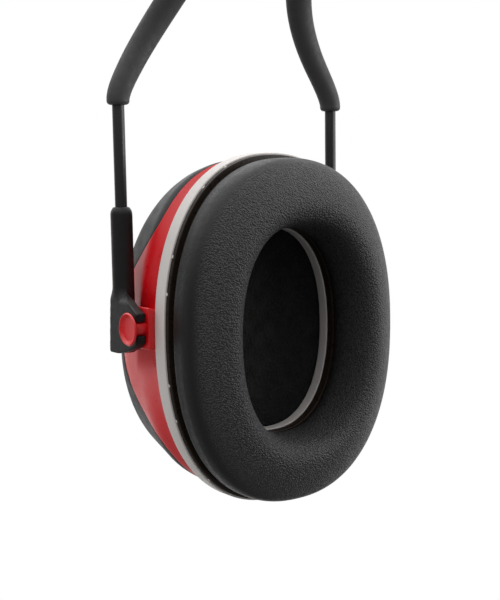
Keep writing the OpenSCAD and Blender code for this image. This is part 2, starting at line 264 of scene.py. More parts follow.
class Shader:
    """A node material under construction. Texture space is the object's own, in metres."""

    def __init__(self, name, color, roughness, **settings):
        self.material = bpy.data.materials.new(name)
        self.material.use_nodes = True
        self.tree = self.material.node_tree
        self.bsdf = self.tree.nodes["Principled BSDF"]
        self.bsdf.inputs["Base Color"].default_value = (*color, 1)
        self.bsdf.inputs["Roughness"].default_value = roughness
        for socket, value in settings.items():
            self.bsdf.inputs[socket.replace("_", " ")].default_value = value
        self.coords = self.tree.nodes.new("ShaderNodeTexCoord").outputs["Object"]
        self.normal = None

    def link(self, out, into):
        self.tree.links.new(out, into)

    def noise(self, size_mm, detail=3.0, roughness=0.55, stretch=None):
        """Noise whose features are about size_mm across."""
        node = self.tree.nodes.new("ShaderNodeTexNoise")
        node.inputs["Scale"].default_value = 1 / (size_mm * MM)
        node.inputs["Detail"].default_value = detail
        node.inputs["Roughness"].default_value = roughness
        source = self.coords
        if stretch:
            mapping = self.tree.nodes.new("ShaderNodeMapping")
            mapping.inputs["Scale"].default_value = stretch
            self.link(self.coords, mapping.inputs["Vector"])
            source = mapping.outputs["Vector"]
        self.link(source, node.inputs["Vector"])
        return node.outputs["Fac"]

    def cells(self, size_mm, feature="F1", jitter=1.0, smoothness=0.4):
        node = self.tree.nodes.new("ShaderNodeTexVoronoi")
        node.feature = feature
        node.inputs["Scale"].default_value = 1 / (size_mm * MM)
        node.inputs["Randomness"].default_value = jitter
        if feature == "SMOOTH_F1":
            node.inputs["Smoothness"].default_value = smoothness
        self.link(self.coords, node.inputs["Vector"])
        return node.outputs["Distance"]

    def spread(self, value, low, high, to_low, to_high):
        return map_range(self.tree, value, low, high, to_low, to_high)

    def math(self, operation, a, b):
        node = self.tree.nodes.new("ShaderNodeMath")
        node.operation = operation
        for socket, value in zip(node.inputs, (a, b)):
            if hasattr(value, "default_value"):
                self.link(value, socket)
            else:
                socket.default_value = value
        return node.outputs["Value"]

    def attribute(self, name):
        node = self.tree.nodes.new("ShaderNodeAttribute")
        node.attribute_name = name
        return node.outputs["Fac"]

    def bump(self, height, depth_mm, strength=1.0):
        node = self.tree.nodes.new("ShaderNodeBump")
        node.inputs["Distance"].default_value = depth_mm * MM
        node.inputs["Strength"].default_value = strength
        self.link(height, node.inputs["Height"])
        if self.normal is not None:
            self.link(self.normal, node.inputs["Normal"])
        self.normal = node.outputs["Normal"]
        self.link(self.normal, self.bsdf.inputs["Normal"])

    def vary_color(self, value, dark, light):
        node = self.tree.nodes.new("ShaderNodeMix")
        node.data_type = "RGBA"
        node.inputs["A"].default_value = (*dark, 1)
        node.inputs["B"].default_value = (*light, 1)
        self.link(value, node.inputs["Factor"])
        self.link(node.outputs["Result"], self.bsdf.inputs["Base Color"])

    def vary_roughness(self, value, low, high):
        self.link(self.spread(value, 0.3, 0.7, low, high), self.bsdf.inputs["Roughness"])


def tint(color, factor):
    return tuple(min(1.0, c * factor) for c in color)


def red_gloss():
    base = (0.66, 0.004, 0.009)
    s = Shader("red_gloss", base, 0.3, Specular_IOR_Level=0.7)
    s.vary_color(s.noise(14, 4), tint(base, 0.94), tint(base, 1.06))
    s.vary_roughness(s.noise(5, 5), 0.26, 0.36)
    s.bump(s.noise(2.2, 3), 0.012)
    return s.material


def cover_black():
    base = (0.032, 0.032, 0.034)
    s = Shader("cover_black", base, 0.5)
    s.vary_color(s.noise(9, 4), tint(base, 0.9), tint(base, 1.12))
    s.vary_roughness(s.noise(3, 5), 0.44, 0.56)
    s.bump(s.noise(0.35, 4, 0.7), 0.03)
    return s.material


def ring_grey():
    base = (0.6, 0.568, 0.545)
    s = Shader("ring_grey", base, 0.42)
    s.vary_color(s.noise(7, 4), tint(base, 0.96), tint(base, 1.03))
    s.vary_roughness(s.noise(2.5, 5), 0.36, 0.5)
    s.bump(s.noise(0.5, 4, 0.7), 0.012)
    return s.material


def plate_brown():
    base = (0.015, 0.010, 0.007)
    s = Shader("plate_brown", base, 0.3, Specular_IOR_Level=0.3)
    s.vary_color(s.noise(3, 4), tint(base, 0.7), tint(base, 1.7))
    s.vary_roughness(s.noise(1.5, 5), 0.24, 0.4)
    s.bump(s.noise(1.2, 4), 0.03)
    return s.material


def leather():
    base = (0.017, 0.017, 0.0185)
    s = Shader("cushion_leather", base, 0.45, Specular_IOR_Level=0.4)
    grain = s.attribute("grain")
    warp = s.noise(2.2, 3)
    pebbles = s.cells(0.48, "SMOOTH_F1", 1.0, 0.3)
    tops = s.math("SUBTRACT", 1.0, pebbles)
    relief = s.math("MULTIPLY", tops, s.spread(grain, 0, 1, 0.08, 1))
    s.bump(s.math("ADD", relief, s.math("MULTIPLY", warp, 0.2)), 0.42, 1.0)
    s.bump(s.noise(0.3, 3, 0.6), 0.02, 0.6)
    # Painted highlights and shade: the pebble tops are painted lighter and the creases between them
    # darker. The grain mask keeps this to the pebbled face, so the smooth wall stays dark.
    lit_tops = s.spread(pebbles, 0.1, 0.7, 1, 0.35)
    painted_pebble_light = s.math("MULTIPLY", lit_tops, s.spread(grain, 0, 1, 0.02, 1))
    s.vary_color(painted_pebble_light, tint(base, 0.35), tint(base, 2.9))
    wear = s.math("ADD", s.math("MULTIPLY", pebbles, 0.5), s.math("MULTIPLY", warp, 0.5))
    s.link(s.spread(wear, 0.25, 0.7, 0.36, 0.54), s.bsdf.inputs["Roughness"])
    return s.material


def foam_black():
    base = (0.005, 0.0048, 0.0045)
    s = Shader("foam_black", base, 0.95)
    pores = s.cells(0.8, "F1")
    blotch = s.noise(4.5, 5, 0.65)
    s.vary_color(s.spread(blotch, 0.35, 0.7, 0, 1), tint(base, 0.55), tint(base, 1.7))
    s.bump(pores, 0.5, 0.8)
    s.bump(s.noise(2.4, 5, 0.7), 0.5, 0.5)
    return s.material


def yoke_black():
    base = (0.0105, 0.0102, 0.0102)
    s = Shader("yoke_black", base, 0.45, Specular_IOR_Level=0.3)
    s.vary_color(s.noise(6, 4), tint(base, 0.85), tint(base, 1.2))
    s.vary_roughness(s.noise(2, 5), 0.36, 0.5)
    s.bump(s.noise(0.3, 4, 0.7), 0.02)
    return s.material


def insulation_black():
    base = (0.014, 0.014, 0.0145)
    s = Shader("insulation_black", base, 0.36)
    s.vary_color(s.noise(4, 4), tint(base, 0.85), tint(base, 1.25))
    s.vary_roughness(s.noise(2, 4, stretch=(1, 1, 0.15)), 0.3, 0.44)
    s.bump(s.noise(0.6, 3, stretch=(1, 1, 0.2)), 0.015)
    return s.material


def sleeve_black():
    base = (0.042, 0.041, 0.042)
    s = Shader("sleeve_black", base, 0.6)
    s.vary_color(s.noise(5, 5), tint(base, 0.85), tint(base, 1.2))
    s.vary_roughness(s.noise(2, 5), 0.52, 0.7)
    s.bump(s.noise(0.45, 4, 0.7), 0.035)
    return s.material


def spring_steel():
    base = (0.55, 0.56, 0.57)
    s = Shader("spring_steel", base, 0.3, Metallic=1.0)
    s.vary_color(s.noise(3, 4), tint(base, 0.85), tint(base, 1.1))
    s.vary_roughness(s.noise(1, 4, stretch=(1, 1, 0.1)), 0.22, 0.4)
    s.bump(s.noise(0.2, 3, stretch=(1, 1, 0.1)), 0.01)
    return s.material


RED = red_gloss()
COVER = cover_black()
RING = ring_grey()
PLATE = plate_brown()
LEATHER = leather()
FOAM = foam_black()
YOKE = yoke_black()
INSULATION = insulation_black()
SLEEVE = sleeve_black()
STEEL = spring_steel()


# ---------------------------------------------------------------- hard cup

RING_STEP = 1.2                             # how far the ring stands out past the dome
DOME_A = RING_A - RING_STEP
DOME_B = RING_B - RING_STEP
DOME_STRAIGHT = -28.4                       # the straight side ends here
DOME_TAPER = 0.0031                         # share of the width lost for each mm outward
DOME_POWER = 4.2                            # squareness of the outer end
DOME_LIFT = 0.124                           # upward drift of the sections with depth
DOME_OVAL = 3.0                             # the ring's oval grows squarer, up to this power
DOME_OVAL_AT = 14.0                         # and reaches it at this depth behind the ring
LEAN_Z = 50.0                               # height at which the two values below are measured
LEAN = 0.194                                # depth lost at the top and gained at the bottom
BARREL = 0.613                              # depth lost at the top and at the bottom
SEAM_TIP = 17.5                             # how far the red tongue beside a pivot reaches outward
SEAM_BASE = -13.5                           # depth of the seam at the top and at the bottom
SEAM_SPREAD = 0.452                         # half height of the tongue, as a share of the cup's
SEAM_Z = -0.055                             # height of its middle, the same way
SEAM_EDGE = 0.35                            # rounding of both sides of the seam
COVER_WALL = 1.6
SHELL_GAP = 1.7                             # the shell's top under the cover
SHELL_INSET = 3.7                           # the shell's inner face
DOME_END = 1.9995                           # just short of the middle of the outer end
CUP_COUNT = 240                             # points round each ring of the cup
COVER_ROWS = 64
SHELL_ROWS = 34
INNER_ROWS = 14
PIN_SEAT_Y = 36.2                           # how deep the pin's shaft goes into the pedestal
PEDESTAL_X = 4.0                            # its reach outward from the pin
PEDESTAL_UP = 6.3
PEDESTAL_DOWN = 6.4
PEDESTAL_ROOT = 3.5                         # how far it goes into the cup past the shaft's end
PEDESTAL_ROUND = 0.5
PEDESTAL_DRAFT = 0.05                       # share of the pedestal's height lost for each mm inward

# The scoop beside each pivot: a crease bends from the ring down to the yoke, and the side falls
# away between it and the ring.
CREASE = np.array([(-5.2, 28.3), (-14.6, 18.6), (-17.2, 8.0)])
CREASE_BEND = 2.5
SCOOP_SLOPE = 0.2
SCOOP_LOW = -13.5                           # it fades out between this height
SCOOP_FADE = 7.0                            # and this much above it
SCOOP_SIDE = (8, 20)                        # and between these distances from the cup's middle


def dome_x(depth, inset):
    """Place of a section. Depth 0 is the ring, 1 the end of the straight side and 2 the outer end."""
    straight = -RING_DEPTH + depth * (DOME_STRAIGHT + RING_DEPTH)
    angle = math.pi / 2 * np.clip(depth - 1, 0, 1)
    curved = DOME_STRAIGHT - (CUP_DEPTH - inset + DOME_STRAIGHT) * np.sin(angle) ** (2 / DOME_POWER)
    return np.where(depth < 1, straight, curved)


def dome_scale(depth, inset):
    """Size of a section, as a share of the size at the ring."""
    angle = math.pi / 2 * np.clip(depth - 1, 0, 1)
    taper = 1 + DOME_TAPER * (dome_x(depth, inset) + RING_DEPTH)
    return taper * np.cos(angle) ** (2 / DOME_POWER)


def dome_depth(x):
    """The reverse of dome_x."""
    straight = (x + RING_DEPTH) / (DOME_STRAIGHT + RING_DEPTH)
    share = np.clip((DOME_STRAIGHT - x) / (CUP_DEPTH + DOME_STRAIGHT), 0, 1)
    curved = 1 + np.arcsin(share ** (DOME_POWER / 2)) * 2 / math.pi
    return np.where(x > DOME_STRAIGHT, straight, curved)


def seam_depth(u):
    """Depth of the seam between shell and cover at height u, -1 to 1."""
    return dome_depth(SEAM_BASE - SEAM_TIP * np.exp(-(np.abs(u - SEAM_Z) / SEAM_SPREAD) ** 3))


def scooped(points):
    """Lowers the cup's side beside the pivots, front and back."""
    p = points.copy()
    x, y, z = p[:, 0], np.abs(p[:, 1]), p[:, 2]
    reaches = []
    for start, stop in zip(CREASE, CREASE[1:]):
        run = (stop - start) / np.linalg.norm(stop - start)
        reaches.append((z - start[1]) * run[0] - (x - start[0]) * run[1])
    reach = np.clip(soft_min(*reaches, CREASE_BEND), 0, None)
    fade = smoothstep(SCOOP_LOW, SCOOP_LOW + SCOOP_FADE, z)
    drop = reach * SCOOP_SLOPE * fade * smoothstep(*SCOOP_SIDE, y)
    p[:, 1] = np.sign(p[:, 1]) * (y - drop)
    return p


def dome_ring(share, inset, tuck=0.0):
    """A ring of points round the cup.

    Share 0 is the ring side, 1 the seam and 2 the outer end. inset makes the whole cup smaller, and
    tuck only this ring.
    """
    t = np.arange(CUP_COUNT) * 2 * math.pi / CUP_COUNT
    c, s = np.cos(t), np.sin(t)
    seam = seam_depth(signed_pow(s, OVAL_POWER))
    depth = share * seam if share < 1 else seam + (share - 1) * (DOME_END - seam)
    x = dome_x(depth, inset)
    reach = -RING_DEPTH - x
    power = OVAL_POWER + (DOME_OVAL - OVAL_POWER) * smoothstep(0, DOME_OVAL_AT, reach)
    k = dome_scale(depth, inset)
    z = signed_pow(s, power) * (DOME_B - inset - tuck) * k + DOME_LIFT * reach
    h = z / LEAN_Z
    points = np.stack([-RING_DEPTH - reach * (1 - LEAN * h - BARREL * h * h),
                       signed_pow(c, power) * (DOME_A - inset - tuck) * k, z], 1)
    return scooped(points)


def past_seam(rows):
    """Shares from the seam to the outer end, closer together towards the end."""
    return [2 - (1 - i / rows) ** 2.1 for i in range(rows + 1)]


def outer_cover():
    rows = [dome_ring(share, 0) for share in reversed(past_seam(COVER_ROWS))]
    rows[-1] = dome_ring(1.004, 0)
    rows += [dome_ring(1, 0, SEAM_EDGE * 0.3), dome_ring(1, 0, SEAM_EDGE)]
    rows += [dome_ring(share, COVER_WALL) for share in past_seam(INNER_ROWS)]
    return np.concatenate(rows), capped(len(rows), CUP_COUNT)


def rounded_block(low, high, radius):
    """A box with rounded edges."""
    bm = bmesh.new()
    bmesh.ops.create_cube(bm, size=1)
    size, middle = np.array(high) - low, (np.array(high) + low) / 2
    for v in bm.verts:
        v.co = Vector(np.array(v.co) * size + middle)
    bmesh.ops.bevel(bm, geom=bm.edges[:], offset=radius, segments=4, profile=0.5, affect="EDGES")
    points = [tuple(v.co) for v in bm.verts]
    faces = [tuple(v.index for v in f.verts) for f in bm.faces]
    bm.free()
    return points, faces


def cup_shell():
    """The shell with its pedestals for the pins."""
    rows = [dome_ring(share, SHELL_GAP) for share in reversed(past_seam(INNER_ROWS))]
    rows += [dome_ring(1, 0, SEAM_EDGE), dome_ring(1, 0, 0.1), dome_ring(0.99, 0)]
    rows += [dome_ring(i / SHELL_ROWS, 0) for i in reversed(range(SHELL_ROWS))]
    rows += [dome_ring(share, SHELL_INSET) for share in (0, 0.5, 1)]
    rows += [dome_ring(share, SHELL_INSET) for share in past_seam(INNER_ROWS)[1:]]
    parts = [(np.concatenate(rows), capped(len(rows), CUP_COUNT))]
    for end in ENDS.values():
        inner, outer = sorted((end * (PIN_SEAT_Y - PEDESTAL_ROOT), end * PEDESTAL_Y))
        block, faces = rounded_block((PIN_X - PEDESTAL_X, inner, PIN_Z - PEDESTAL_DOWN),
                                     (-RING_DEPTH - 0.05, outer, PIN_Z + PEDESTAL_UP),
                                     PEDESTAL_ROUND)
        points = []
        for x, y, z in block:
            height = 1 - PEDESTAL_DRAFT * (PEDESTAL_Y - abs(y))
            points.append((x, y, PIN_Z + (z - PIN_Z) * height))
        parts.append((points, faces))
    return joined(parts)


COLLAR_DEPTH = 3.6                          # how far the collar reaches back from the ring's face
COLLAR_T = 1.2
WEB = 2.0                                   # thickness of the ring behind its face
RIM_T = 4.6                                 # thickness of its outer wall
LUG_ANGLES = [half + sign * a for half in (0, 180) for a in (12, 24, 53, 67) for sign in (-1, 1)]


def lug(angle):
    """Small catch of the ring that shows at the plate's edge."""
    c, s = math.cos(math.radians(angle)), math.sin(math.radians(angle))
    y, z = float(signed_pow(c, OVAL_POWER)) * PLATE_A, float(signed_pow(s, OVAL_POWER)) * PLATE_B
    points, faces = rounded_block((-0.3, -0.5, -0.45), (0.5, 0.15, 0.45), 0.15)
    turn = math.atan2(z * (PLATE_A / PLATE_B) ** 2, y)
    cos, sin = math.cos(turn), math.sin(turn)
    return [(p[0], y + p[1] * cos - p[2] * sin, z + p[1] * sin + p[2] * cos) for p in points], faces


def carrier_ring():
    """The trim ring with the collar that lines the ear opening."""
    a, b = EAR_A, EAR_B
    outer_a, outer_b = a + COLLAR_T, b + COLLAR_T
    rim_a, rim_b = RING_A - RIM_T, RING_B - RIM_T
    section = fillet([
        (-RING_DEPTH, RING_A, RING_B), (0, RING_A, RING_B), (0, a, b), (-COLLAR_DEPTH, a, b),
        (-COLLAR_DEPTH, outer_a, outer_b), (-WEB, outer_a, outer_b), (-WEB, rim_a, rim_b),
        (-RING_DEPTH, rim_a, rim_b),
    ], [0.5, 0.45, 0.3, 0.5, 0.4, 0.3, 0.3, 0.3])
    return joined([swept_oval(section)] + [lug(a) for a in LUG_ANGLES])


FLANGE = 1.2                                # thickness of the plate's flange
SEAT_IN = 2.2                               # width of the flange
PLATE_HOLE = 0.3                            # room between the plate's hole and the ear opening


def cushion_plate():
    a, b = PLATE_A, PLATE_B
    hole_a, hole_b = EAR_A + PLATE_HOLE, EAR_B + PLATE_HOLE
    section = fillet([
        (0.02, a, b), (FLANGE, a - 0.15, b - 0.15), (FLANGE, a - SEAT_IN, b - SEAT_IN),
        (PLATE_H, a - SEAT_IN, b - SEAT_IN), (PLATE_H, hole_a, hole_b), (0.02, hole_a, hole_b),
    ], [0.1, 0.4, 0.4, 0.2, 0.3, 0.3], 4)
    return swept_oval(section)


# ---------------------------------------------------------------- cushion

CUSHION_BACK = PLATE_H + 0.1


def cushion_section():
    """Closed section of the cushion as (x, share across the ring, grain)."""
    rise = CUSHION_FACE - CUSHION_BACK
    corners = [                             # the outer wall, which is smooth
        (0.00, 0.90, 0.0), (0.015, 0.965, 0.0), (0.08, 0.995, 0.0), (0.20, 1.00, 0.0),
        (0.37, 1.00, 0.0), (0.54, 0.96, 0.05),
        # the pebbled face
        (0.68, 0.85, 0.7), (0.81, 0.70, 1.0), (0.92, 0.53, 1.0), (0.99, 0.36, 1.0),
        (0.975, 0.24, 1.0), (0.88, 0.13, 1.0), (0.70, 0.06, 1.0),
        # down the ear opening and back along the plate
        (0.44, 0.015, 0.9), (0.20, 0.00, 0.6), (0.03, 0.04, 0.3), (0.00, 0.12, 0.2),
        (0.00, 0.50, 0.0),
    ]
    p = np.array(corners)
    n = len(p)
    out = []
    steps = 6
    for i in range(n):                      # closed Catmull-Rom curve through the corners
        a, b, c, d = p[i - 1], p[i], p[(i + 1) % n], p[(i + 2) % n]
        for k in range(steps):
            t = k / steps
            out.append(0.5 * (2 * b + (c - a) * t + (2 * a - 5 * b + 4 * c - d) * t * t
                              + (3 * b - a - 3 * c + d) * t ** 3))
    out = np.array(out)
    out[:, 0] = CUSHION_BACK + np.clip(out[:, 0], 0, 1) * rise
    return out


def cushion(side, name, body):
    """The cushion, with its grain kept on the points for the leather."""
    count = 220
    section = cushion_section()
    ring = [(x, EAR_A + share * (CUSHION_A - EAR_A), EAR_B + share * (CUSHION_B - EAR_B))
            for x, share, _ in section]
    points, faces = swept_oval(ring, count)
    piece = new_object(name, place(points, side), faces, LEATHER, body, "cushion_skin")
    grain = piece.data.attributes.new("grain", "FLOAT", "POINT")
    values = np.repeat(np.clip(section[:, 2], 0, 1), count).astype(np.float32)
    grain.data.foreach_set("value", values)
    return piece


def liner_foam():
    """The foam's visible face, with the soft unevenness of cut foam, and its plain back."""
    a, b = LINER_A, LINER_B
    front, back = LINER_FRONT - 0.1, LINER_BACK
    count, rings = 96, 26
    unit = oval_unit(count)
    rows = []
    for i in range(rings):
        r = (i + 0.5) / rings
        y, z = unit[:, 0] * a * r, unit[:, 1] * b * r
        wave = 0.35 * np.sin(y * 0.9 + 1.3) * np.cos(z * 0.7) + 0.25 * np.sin(y * 0.37 - z * 0.51)
        x = front + wave - 0.8 * (1 - r)
        rows.append(np.stack([np.minimum(x, front), y, z], 1))
    rows.append(np.stack([np.full(count, front - 1), unit[:, 0] * a, unit[:, 1] * b], 1))
    rows.append(np.stack([np.full(count, back), unit[:, 0] * a, unit[:, 1] * b], 1))
    return np.concatenate(rows), capped(len(rows), count)


# ---------------------------------------------------------------- pins, yokes and band

AXIS = 0.01                                 # radius that closes a turned profile on its axis
PIN_NECK_R = 2.45


def pin(end):
    """A pin with a dished head."""
    r, top = PIN_HEAD_R, PIN_REACH
    profile = fillet([
        (AXIS, PIN_SEAT_Y + 0.2), (PIN_NECK_R, PIN_SEAT_Y + 0.2), (PIN_NECK_R, CLIP_OUT + 0.1),
        (r - 2.1, CLIP_OUT + 0.2), (r - 0.1, top - 0.6), (r, top - 0.45), (r - 0.3, top - 0.02),
        (r - 0.5, top), (r - 1.35, top - 0.85), (AXIS, top - 0.9),
    ], [0, 0.2, 0.1, 0.2, 0.12, 0.12, 0.15, 0.12, 0.3, 0], 5, closed=False)
    return lathe(profile, (PIN_X, PIN_Z), end)


FLARE_TOP = 11.5                            # above the pin: all round tube from here up
FLARE_LOW = 6.5                             # all flat foot from here down


def prism_y(outline, y0, y1):
    """A solid whose outline in (x, z) runs from y0 to y1."""
    n = len(outline)
    points = [(x, y0, z) for x, z in outline] + [(x, y1, z) for x, z in outline]
    return points, grid_faces(2, n) + [tuple(range(n)), tuple(range(n, 2 * n))]


def arc(cx, cz, r, start, stop, steps):
    """Points along an arc, from start to stop in degrees."""
    turns = [math.radians(start + (stop - start) * k / steps) for k in range(steps + 1)]
    return [(cx + r * math.cos(t), cz + r * math.sin(t)) for t in turns]


def melt_foot(mesh, side):
    """Lets the foot's flat outer face run out into the round tube above it."""
    p = np.empty(len(mesh.vertices) * 3)
    mesh.vertices.foreach_get("co", p)
    p = p.reshape(-1, 3)
    x = PLANE - side * p[:, 0] / MM
    across = np.clip(np.abs(x - WIRE_X), 0, TUBE_R)
    round_y = WIRE_Y + np.sqrt(TUBE_R ** 2 - across ** 2)
    flat_share = smoothstep(FLARE_TOP, FLARE_LOW, p[:, 2] / MM - PIN_Z)
    thinnest = CLIP_OUT - CLIP_T + 0.15
    limit = np.maximum(round_y + (CLIP_OUT - round_y) * flat_share, thinnest) * MM
    p[:, 1] = np.sign(p[:, 1]) * np.minimum(np.abs(p[:, 1]), limit)
    mesh.vertices.foreach_set("co", p.ravel())
    mesh.update()


NECK_H = 4.6                                # the narrow mouth that guides the wire
NECK_PLAY = 0.15
CHAMBER_R = 2.55                            # room for the wire's end stop inside the tube
CHAMBER_FLOOR = 1.5
CLIP_BORE = 2.53                            # radius of the clip's seat round the pin
CLIP_MOUTH = 2.0                            # half width of its mouth
CLIP_TIP = 2.3                              # reach of its prongs past the pin
VOXEL = 0.24
SOFTENING = 9


def yoke(name, side, end, body):
    """Tube, flare and clip fused and softened like one moulding, with the wire's chamber inside."""
    axis = (WIRE_X, end * WIRE_Y)
    foot_z = TUBE_BOTTOM + 0.05
    tube = upright_lathe(fillet([
        (AXIS, foot_z), (TUBE_R, foot_z), (TUBE_R, TUBE_TOP - 1.5), (TUBE_R - 0.9, TUBE_TOP),
        (AXIS, TUBE_TOP),
    ], [0, 0.5, 0.8, 0.5, 0], 5, closed=False), axis, 64)
    neck_r, neck_low, floor = WIRE_R + NECK_PLAY, TUBE_TOP - NECK_H, TUBE_BOTTOM + CHAMBER_FLOOR
    chamber = upright_lathe([
        (AXIS, floor), (CHAMBER_R, floor), (CHAMBER_R, neck_low), (neck_r, neck_low),
        (neck_r, TUBE_TOP + 1), (AXIS, TUBE_TOP + 1),
    ], axis, 64)
    mouth, tip = CLIP_MOUTH, CLIP_TIP
    gap = math.degrees(math.asin(mouth / CLIP_BORE))
    low = TUBE_BOTTOM - PIN_Z
    lip = CLIP_BORE * math.cos(math.radians(gap))
    upper = fillet([
        (-11.6, 12.5), (-9.2, 12.5), (-8.25, 10.4), (-6.9, 9.2), (-4.1, 8.0), (1.3, 4.8),
        (tip, 4.6), (tip, mouth), (lip, mouth),
    ], [0, 1, 2, 2, 1.5, 0.5, 0.4, 0.3, 0], 4, closed=False)
    lower = fillet([
        (lip, -mouth), (tip, -mouth), (tip, -4.3), (0.1, -5.8), (-3.4, -7.1), (-9, low),
        (-14.5, low), (-14.4, -6), (-13.9, 2), (-13.3, 9), (-12.6, 12.2), (-11.6, 12.5),
    ], [0, 0.3, 0.8, 1.2, 1.5, 2, 0.6, 1, 2, 2, 1, 0], 4, closed=False)
    outline = [(PIN_X + q[0], PIN_Z + q[1]) for q in upper]
    outline += arc(PIN_X, PIN_Z, CLIP_BORE, gap, 360 - gap, 40)[1:-1]
    outline += [(PIN_X + q[0], PIN_Z + q[1]) for q in lower]
    inner, outer = sorted((end * (CLIP_OUT - CLIP_T), end * CLIP_OUT))
    foot = prism_y(outline, inner, outer)
    pieces = []
    for part_name, (points, faces) in (("tube", tube), ("foot", foot), ("chamber", chamber)):
        mesh = bpy.data.meshes.new(part_name)
        mesh.from_pydata([tuple(p) for p in place(points, side)], [], faces)
        bm = bmesh.new()
        bm.from_mesh(mesh)
        bmesh.ops.remove_doubles(bm, verts=bm.verts, dist=1e-7)
        bmesh.ops.recalc_face_normals(bm, faces=bm.faces)
        bmesh.ops.triangulate(bm, faces=[f for f in bm.faces if len(f.verts) > 4])
        bm.to_mesh(mesh)
        bm.free()
        o = bpy.data.objects.new(part_name, mesh)
        bpy.context.scene.collection.objects.link(o)
        pieces.append(o)
    body_piece = pieces[0]
    for operation, other in (("UNION", pieces[1]), ("DIFFERENCE", pieces[2])):
        join = body_piece.modifiers.new(operation.lower(), "BOOLEAN")
        join.operation = operation
        join.solver = "EXACT"
        join.object = other
    remesh = body_piece.modifiers.new("remesh", "REMESH")
    remesh.mode = "VOXEL"
    remesh.voxel_size = VOXEL * MM
    soften = body_piece.modifiers.new("soften", "SMOOTH")
    soften.factor = 0.5
    soften.iterations = SOFTENING
    depsgraph = bpy.context.evaluated_depsgraph_get()
    mesh = bpy.data.meshes.new_from_object(body_piece.evaluated_get(depsgraph))
    mesh.name = name
    for o in pieces:
        bpy.data.objects.remove(o)
    piece = bpy.data.objects.new(name, mesh)
    bpy.context.scene.collection.objects.link(piece)
    mesh.materials.clear()
    mesh.materials.append(YOKE)
    melt_foot(mesh, side)
    for polygon in mesh.polygons:
        polygon.use_smooth = True
    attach(piece, body)
    return piece


STEEL_R = 1.2                               # radius of the steel wire
INSULATION_BORE = 0.68 * WIRE_R
SLEEVE_R = 3.35                             # radius of a sleeve at its ends
PAD_W = 4.6                                 # half width and half thickness over the head
PAD_T = 3.2


def insulation(end):
    """The two stretches of tube on one band wire."""
    parts = []
    for sx in (-1, 1):
        profile = fillet([
            (INSULATION_BORE, WIRE_END), (WIRE_R, WIRE_END), (WIRE_R, WIRE_HIDDEN_END),
            (INSULATION_BORE, WIRE_HIDDEN_END),
        ], 0.2, 3, closed=False)
        points, _ = upright_lathe(profile, (sx * BAND_X, end * WIRE_Y))
        parts.append((points, grid_faces(len(profile), 48, wrap_rows=True)))
    points, faces = joined(parts)
    return np.array(points) * MM, faces


BAND_TOP = wire_high[2] - STEEL_R
TOP_Y = PAD_W - sleeve_high[1]              # the sleeves' distance from the middle over the head
ARCH_LOW = 80.0                             # where the arch over the head starts
BEND_LOW = 69.0                             # where the sleeves start to lean in
BEND_HIGH = 128.0                           # where they run parallel again
LEAD_IN = 8.0                               # stiffness of the lower bend
LEAD_OUT = 26.0                             # stiffness of the upper bend
PAD_AT = 40.0                               # the section changes over this height
SLEEVE_ROUND = 1.1                          # radius of the rounded ends
SLEEVE_SIDES = 40


def band_path():
    """Centre line of the front sleeve from its right end over the head to its left end."""
    rise = BAND_TOP - ARCH_LOW

    def arch_x(z):
        return -BAND_X * math.sqrt(1 - (max(0.0, z - ARCH_LOW) / rise) ** 2)

    half = [(-BAND_X, -WIRE_Y, z) for z in (SLEEVE_END, SLEEVE_END + 0.7)]
    bend_steps, arch_steps = 44, 32
    for i in range(bend_steps):
        t = i / bend_steps
        u = 1 - t
        y = -WIRE_Y + (WIRE_Y - TOP_Y) * (3 * u * t * t + t ** 3)
        z = (BEND_LOW * u ** 3 + 3 * (BEND_LOW + LEAD_IN) * u * u * t
             + 3 * (BEND_HIGH - LEAD_OUT) * u * t * t + BEND_HIGH * t ** 3)
        half.append((arch_x(z), y, z))
    start = math.asin((BEND_HIGH - ARCH_LOW) / rise)
    for i in range(arch_steps + 1):
        q = start + (math.pi / 2 - start) * i / arch_steps
        half.append((-BAND_X * math.cos(q), -TOP_Y, ARCH_LOW + rise * math.sin(q)))
    half = np.array(half)
    back = half[:-1][::-1] * np.array([-1, 1, 1])
    return np.concatenate([half, back])


def sleeve(end):
    """One overmould over the head, with a channel for its wire."""
    path = band_path()
    tangents = np.gradient(path, axis=0)
    tangents /= np.linalg.norm(tangents, axis=1)[:, None]
    rows = []

    def ring(i, w, t, shift=0.0):
        along = tangents[i]
        across = np.array([0, 1, 0]) - along[1] * along
        across /= np.linalg.norm(across)
        up = np.cross(along, across)
        a = np.arange(SLEEVE_SIDES) * 2 * math.pi / SLEEVE_SIDES
        return (path[i] + along * shift + np.outer(np.cos(a), across * w)
                + np.outer(np.sin(a), up * t))

    last = len(path) - 1
    r = SLEEVE_ROUND
    turns = [math.radians(q) for q in range(90, -1, -15)]
    ends = [(r - r * math.cos(q), r - r * math.sin(q)) for q in turns]
    for step, tuck in reversed(ends):
        rows.append(ring(0, SLEEVE_R - tuck, SLEEVE_R - tuck, step))
    for i in range(2, last - 1):
        k = min(1.0, max(0.0, (path[i][2] - WIRE_HIDDEN_END) / PAD_AT))
        rows.append(ring(i, SLEEVE_R + k * (PAD_W - SLEEVE_R), SLEEVE_R + k * (PAD_T - SLEEVE_R)))
    for step, tuck in ends:
        rows.append(ring(last, SLEEVE_R - tuck, SLEEVE_R - tuck, -step))
    mouth = WIRE_R + 0.08                   # room for the insulation where it goes in
    mouth_depth = 4
    channel = STEEL_R + 0.1
    rows.append(ring(last, mouth, mouth, 0))
    rows.append(ring(last, mouth, mouth, -mouth_depth))
    for i in range(last - 4, 3, -3):
        rows.append(ring(i, channel, channel))
    rows.append(ring(0, mouth, mouth, mouth_depth))
    rows.append(ring(0, mouth, mouth, 0))
    points = np.concatenate(rows)
    if end > 0:
        points = points * np.array([1, -1, 1])
    return points * MM, grid_faces(len(rows), SLEEVE_SIDES, wrap_rows=True)


# ---------------------------------------------------------------- assembly

